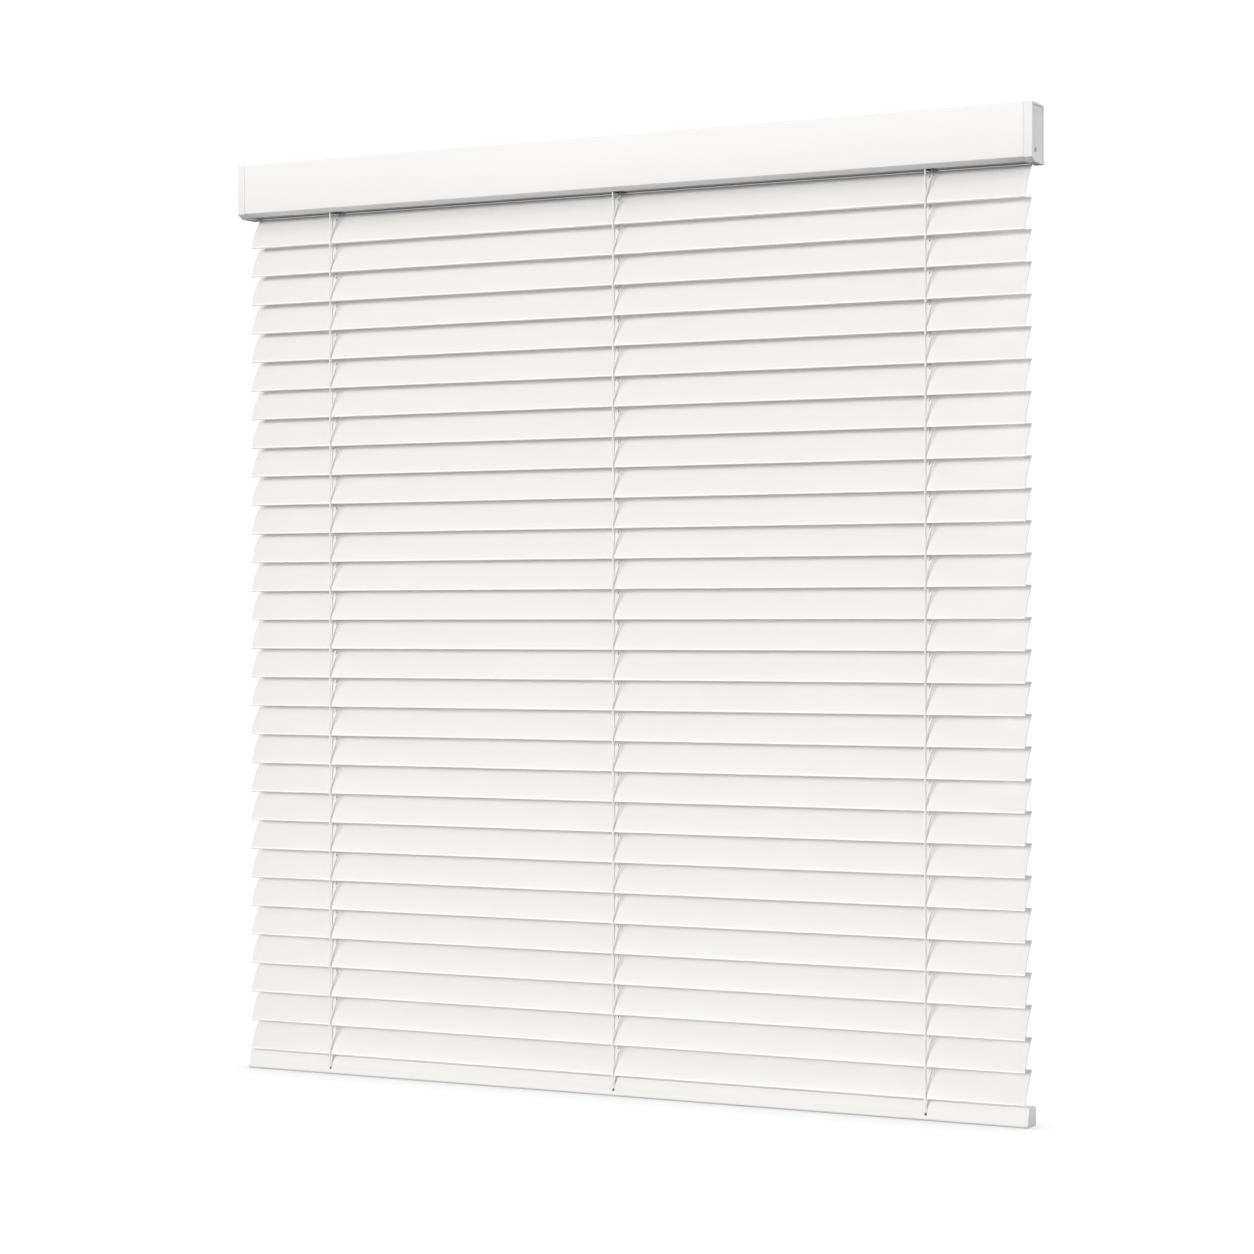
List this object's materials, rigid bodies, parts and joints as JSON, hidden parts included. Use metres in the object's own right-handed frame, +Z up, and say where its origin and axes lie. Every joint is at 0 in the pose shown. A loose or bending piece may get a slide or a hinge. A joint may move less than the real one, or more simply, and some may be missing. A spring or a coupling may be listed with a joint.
{
  "type": "venetian blind",
  "caption": "Wide-slat venetian blind with a boxed headrail and fascia, ladder cords, curved slats that tilt together and a slim bottom rail, closed.",
  "frame": {"origin": "centre of the middle ceiling bracket's two screw holes, on its top face, which is the ceiling plane", "axes": "+Z up, +X towards the blind's right end as seen from the room, -Y towards the room"},
  "size_m": [1.214, 0.0453, 1.3],
  "materials": {
    "slat_vinyl": "smooth satin foam vinyl, warm white",
    "fascia_vinyl": "satin vinyl, warm white",
    "rail_vinyl": "satin vinyl, warm white",
    "cap_plastic": "fine-textured moulded plastic, pale grey-white",
    "painted_steel": "grey stove enamel",
    "zinc_steel": "zinc plate",
    "spring_steel": "blued strip",
    "grey_nylon": "moulded nylon, slate grey",
    "drum_acetal": "moulded acetal, natural",
    "braided_cord": "fine polyester braid"
  },
  "bodies": {
    "headrail": {"headrail_channel": "painted_steel", "fascia": "fascia_vinyl", "end_cap_left": "cap_plastic", "end_cap_right": "cap_plastic", "cap_screws": "zinc_steel", "bracket_left": "zinc_steel", "bracket_middle": "zinc_steel", "bracket_right": "zinc_steel", "cradle_left": "grey_nylon", "cradle_middle": "grey_nylon", "cradle_right": "grey_nylon", "tilt_brake": "grey_nylon", "lift_motor_case": "grey_nylon", "lift_motor_lid": "grey_nylon", "lift_spring": "spring_steel", "cord_tops": "braided_cord"},
    "bottom_rail": {"bottom_rail": "rail_vinyl", "rail_cap_left": "cap_plastic", "rail_cap_right": "cap_plastic", "rail_buttons": "cap_plastic", "cord_tails": "braided_cord"},
    "slat_01": {"slat_01": "slat_vinyl"},
    "slat_02": {"slat_02": "slat_vinyl"},
    "slat_03": {"slat_03": "slat_vinyl"},
    "slat_04": {"slat_04": "slat_vinyl"},
    "slat_05": {"slat_05": "slat_vinyl"},
    "slat_06": {"slat_06": "slat_vinyl"},
    "slat_07": {"slat_07": "slat_vinyl"},
    "slat_08": {"slat_08": "slat_vinyl"},
    "slat_09": {"slat_09": "slat_vinyl"},
    "slat_10": {"slat_10": "slat_vinyl"},
    "slat_11": {"slat_11": "slat_vinyl"},
    "slat_12": {"slat_12": "slat_vinyl"},
    "slat_13": {"slat_13": "slat_vinyl"},
    "slat_14": {"slat_14": "slat_vinyl"},
    "slat_15": {"slat_15": "slat_vinyl"},
    "slat_16": {"slat_16": "slat_vinyl"},
    "slat_17": {"slat_17": "slat_vinyl"},
    "slat_18": {"slat_18": "slat_vinyl"},
    "slat_19": {"slat_19": "slat_vinyl"},
    "slat_20": {"slat_20": "slat_vinyl"},
    "slat_21": {"slat_21": "slat_vinyl"},
    "slat_22": {"slat_22": "slat_vinyl"},
    "slat_23": {"slat_23": "slat_vinyl"},
    "slat_24": {"slat_24": "slat_vinyl"},
    "slat_25": {"slat_25": "slat_vinyl"},
    "slat_26": {"slat_26": "slat_vinyl"},
    "slat_27": {"slat_27": "slat_vinyl"},
    "slat_28": {"slat_28": "slat_vinyl"},
    "slat_29": {"slat_29": "slat_vinyl"},
    "tilt_rod": {"tilt_rod": "zinc_steel", "tilt_drum_left": "drum_acetal", "tilt_drum_middle": "drum_acetal", "tilt_drum_right": "drum_acetal"},
    "lift_drum": {"lift_drum": "drum_acetal"},
    "front_cords": {"front_cords": "braided_cord"},
    "back_cords": {"back_cords": "braided_cord"},
    "lift_cords": {"lift_cords": "braided_cord"},
    "latch_left": {"latch_left": "zinc_steel"},
    "latch_right": {"latch_right": "zinc_steel"}
  },
  "joints": [
    {"name": "rail_lift", "type": "slide", "parent": "headrail", "child": "bottom_rail", "axis": [0, 0, 1], "range_m": [0, 0.012], "deforming": ["cord_tails"]},
    {"name": "tilt", "type": "hinge", "parent": "headrail", "child": "slat_01", "pos_m": [0, 0, -0.0975], "axis": [-1, 0, 0], "range_deg": [0, 118], "deforming": ["cord_tops"]},
    {"name": "tilt_slat_02", "type": "hinge", "parent": "headrail", "child": "slat_02", "pos_m": [0, 0, -0.1387], "axis": [-1, 0, 0], "range_deg": [0, 118]},
    {"name": "tilt_slat_03", "type": "hinge", "parent": "headrail", "child": "slat_03", "pos_m": [0, 0, -0.1799], "axis": [-1, 0, 0], "range_deg": [0, 118]},
    {"name": "tilt_slat_04", "type": "hinge", "parent": "headrail", "child": "slat_04", "pos_m": [0, 0, -0.2211], "axis": [-1, 0, 0], "range_deg": [0, 118]},
    {"name": "tilt_slat_05", "type": "hinge", "parent": "headrail", "child": "slat_05", "pos_m": [0, 0, -0.2623], "axis": [-1, 0, 0], "range_deg": [0, 118]},
    {"name": "tilt_slat_06", "type": "hinge", "parent": "headrail", "child": "slat_06", "pos_m": [0, 0, -0.3035], "axis": [-1, 0, 0], "range_deg": [0, 118]},
    {"name": "tilt_slat_07", "type": "hinge", "parent": "headrail", "child": "slat_07", "pos_m": [0, 0, -0.3447], "axis": [-1, 0, 0], "range_deg": [0, 118]},
    {"name": "tilt_slat_08", "type": "hinge", "parent": "headrail", "child": "slat_08", "pos_m": [0, 0, -0.3859], "axis": [-1, 0, 0], "range_deg": [0, 118]},
    {"name": "tilt_slat_09", "type": "hinge", "parent": "headrail", "child": "slat_09", "pos_m": [0, 0, -0.4271], "axis": [-1, 0, 0], "range_deg": [0, 118]},
    {"name": "tilt_slat_10", "type": "hinge", "parent": "headrail", "child": "slat_10", "pos_m": [0, 0, -0.4683], "axis": [-1, 0, 0], "range_deg": [0, 118]},
    {"name": "tilt_slat_11", "type": "hinge", "parent": "headrail", "child": "slat_11", "pos_m": [0, 0, -0.5095], "axis": [-1, 0, 0], "range_deg": [0, 118]},
    {"name": "tilt_slat_12", "type": "hinge", "parent": "headrail", "child": "slat_12", "pos_m": [0, 0, -0.5507], "axis": [-1, 0, 0], "range_deg": [0, 118]},
    {"name": "tilt_slat_13", "type": "hinge", "parent": "headrail", "child": "slat_13", "pos_m": [0, 0, -0.5919], "axis": [-1, 0, 0], "range_deg": [0, 118]},
    {"name": "tilt_slat_14", "type": "hinge", "parent": "headrail", "child": "slat_14", "pos_m": [0, 0, -0.6331], "axis": [-1, 0, 0], "range_deg": [0, 118]},
    {"name": "tilt_slat_15", "type": "hinge", "parent": "headrail", "child": "slat_15", "pos_m": [0, 0, -0.6743], "axis": [-1, 0, 0], "range_deg": [0, 118]},
    {"name": "tilt_slat_16", "type": "hinge", "parent": "headrail", "child": "slat_16", "pos_m": [0, 0, -0.7155], "axis": [-1, 0, 0], "range_deg": [0, 118]},
    {"name": "tilt_slat_17", "type": "hinge", "parent": "headrail", "child": "slat_17", "pos_m": [0, 0, -0.7567], "axis": [-1, 0, 0], "range_deg": [0, 118]},
    {"name": "tilt_slat_18", "type": "hinge", "parent": "headrail", "child": "slat_18", "pos_m": [0, 0, -0.7979], "axis": [-1, 0, 0], "range_deg": [0, 118]},
    {"name": "tilt_slat_19", "type": "hinge", "parent": "headrail", "child": "slat_19", "pos_m": [0, 0, -0.8391], "axis": [-1, 0, 0], "range_deg": [0, 118]},
    {"name": "tilt_slat_20", "type": "hinge", "parent": "headrail", "child": "slat_20", "pos_m": [0, 0, -0.8803], "axis": [-1, 0, 0], "range_deg": [0, 118]},
    {"name": "tilt_slat_21", "type": "hinge", "parent": "headrail", "child": "slat_21", "pos_m": [0, 0, -0.9215], "axis": [-1, 0, 0], "range_deg": [0, 118]},
    {"name": "tilt_slat_22", "type": "hinge", "parent": "headrail", "child": "slat_22", "pos_m": [0, 0, -0.9627], "axis": [-1, 0, 0], "range_deg": [0, 118]},
    {"name": "tilt_slat_23", "type": "hinge", "parent": "headrail", "child": "slat_23", "pos_m": [0, 0, -1.0039], "axis": [-1, 0, 0], "range_deg": [0, 118]},
    {"name": "tilt_slat_24", "type": "hinge", "parent": "headrail", "child": "slat_24", "pos_m": [0, 0, -1.0451], "axis": [-1, 0, 0], "range_deg": [0, 118]},
    {"name": "tilt_slat_25", "type": "hinge", "parent": "headrail", "child": "slat_25", "pos_m": [0, 0, -1.0863], "axis": [-1, 0, 0], "range_deg": [0, 118]},
    {"name": "tilt_slat_26", "type": "hinge", "parent": "headrail", "child": "slat_26", "pos_m": [0, 0, -1.1275], "axis": [-1, 0, 0], "range_deg": [0, 118]},
    {"name": "tilt_slat_27", "type": "hinge", "parent": "headrail", "child": "slat_27", "pos_m": [0, 0, -1.1687], "axis": [-1, 0, 0], "range_deg": [0, 118]},
    {"name": "tilt_slat_28", "type": "hinge", "parent": "headrail", "child": "slat_28", "pos_m": [0, 0, -1.2099], "axis": [-1, 0, 0], "range_deg": [0, 118]},
    {"name": "tilt_slat_29", "type": "hinge", "parent": "bottom_rail", "child": "slat_29", "pos_m": [0, 0, -1.2511], "axis": [-1, 0, 0], "range_deg": [0, 118]},
    {"name": "front_cords_hang", "type": "hinge", "parent": "slat_15", "child": "front_cords", "pos_m": [0, -0.01562, -0.6996], "axis": [-1, 0, 0], "range_deg": [-118.5, 0]},
    {"name": "back_cords_hang", "type": "hinge", "parent": "slat_15", "child": "back_cords", "pos_m": [0, 0.01317, -0.64765], "axis": [-1, 0, 0], "range_deg": [-118.5, 0]},
    {"name": "lift_cords_hang", "type": "hinge", "parent": "slat_15", "child": "lift_cords", "pos_m": [0, 0.00558, -0.65796], "axis": [-1, 0, 0], "range_deg": [-118.5, 0]},
    {"name": "tilt_rod_turn", "type": "hinge", "parent": "headrail", "child": "tilt_rod", "pos_m": [0, -0.0012, -0.05], "axis": [-1, 0, 0], "range_deg": [0, 223.4]},
    {"name": "lift_drum_turn", "type": "hinge", "parent": "headrail", "child": "lift_drum", "pos_m": [0.215, -0.004, -0.03], "axis": [0, 0, -1], "range_deg": [0, 72.3]},
    {"name": "latch_left_turn", "type": "hinge", "parent": "headrail", "child": "latch_left", "pos_m": [-0.52, -0.00435, -0.003], "axis": [0, 0, 1], "range_deg": [0, 90]},
    {"name": "latch_right_turn", "type": "hinge", "parent": "headrail", "child": "latch_right", "pos_m": [0.52, -0.00435, -0.003], "axis": [0, 0, 1], "range_deg": [0, 90]}
  ],
  "couplings": [
    {"joint": "tilt_slat_02", "follows": "tilt", "ratio": 1},
    {"joint": "tilt_slat_03", "follows": "tilt", "ratio": 1},
    {"joint": "tilt_slat_04", "follows": "tilt", "ratio": 1},
    {"joint": "tilt_slat_05", "follows": "tilt", "ratio": 1},
    {"joint": "tilt_slat_06", "follows": "tilt", "ratio": 1},
    {"joint": "tilt_slat_07", "follows": "tilt", "ratio": 1},
    {"joint": "tilt_slat_08", "follows": "tilt", "ratio": 1},
    {"joint": "tilt_slat_09", "follows": "tilt", "ratio": 1},
    {"joint": "tilt_slat_10", "follows": "tilt", "ratio": 1},
    {"joint": "tilt_slat_11", "follows": "tilt", "ratio": 1},
    {"joint": "tilt_slat_12", "follows": "tilt", "ratio": 1},
    {"joint": "tilt_slat_13", "follows": "tilt", "ratio": 1},
    {"joint": "tilt_slat_14", "follows": "tilt", "ratio": 1},
    {"joint": "tilt_slat_15", "follows": "tilt", "ratio": 1},
    {"joint": "tilt_slat_16", "follows": "tilt", "ratio": 1},
    {"joint": "tilt_slat_17", "follows": "tilt", "ratio": 1},
    {"joint": "tilt_slat_18", "follows": "tilt", "ratio": 1},
    {"joint": "tilt_slat_19", "follows": "tilt", "ratio": 1},
    {"joint": "tilt_slat_20", "follows": "tilt", "ratio": 1},
    {"joint": "tilt_slat_21", "follows": "tilt", "ratio": 1},
    {"joint": "tilt_slat_22", "follows": "tilt", "ratio": 1},
    {"joint": "tilt_slat_23", "follows": "tilt", "ratio": 1},
    {"joint": "tilt_slat_24", "follows": "tilt", "ratio": 1},
    {"joint": "tilt_slat_25", "follows": "tilt", "ratio": 1},
    {"joint": "tilt_slat_26", "follows": "tilt", "ratio": 1},
    {"joint": "tilt_slat_27", "follows": "tilt", "ratio": 1},
    {"joint": "tilt_slat_28", "follows": "tilt", "ratio": 1},
    {"joint": "tilt_slat_29", "follows": "tilt", "ratio": 1},
    {"joint": "front_cords_hang", "follows": "tilt", "ratio": -1},
    {"joint": "back_cords_hang", "follows": "tilt", "ratio": -1},
    {"joint": "lift_cords_hang", "follows": "tilt", "ratio": -1},
    {"joint": "tilt_rod_turn", "follows": "tilt", "ratio": 1.8892},
    {"joint": "lift_drum_turn", "follows": "rail_lift", "rad_per_m": 104.37}
  ]
}
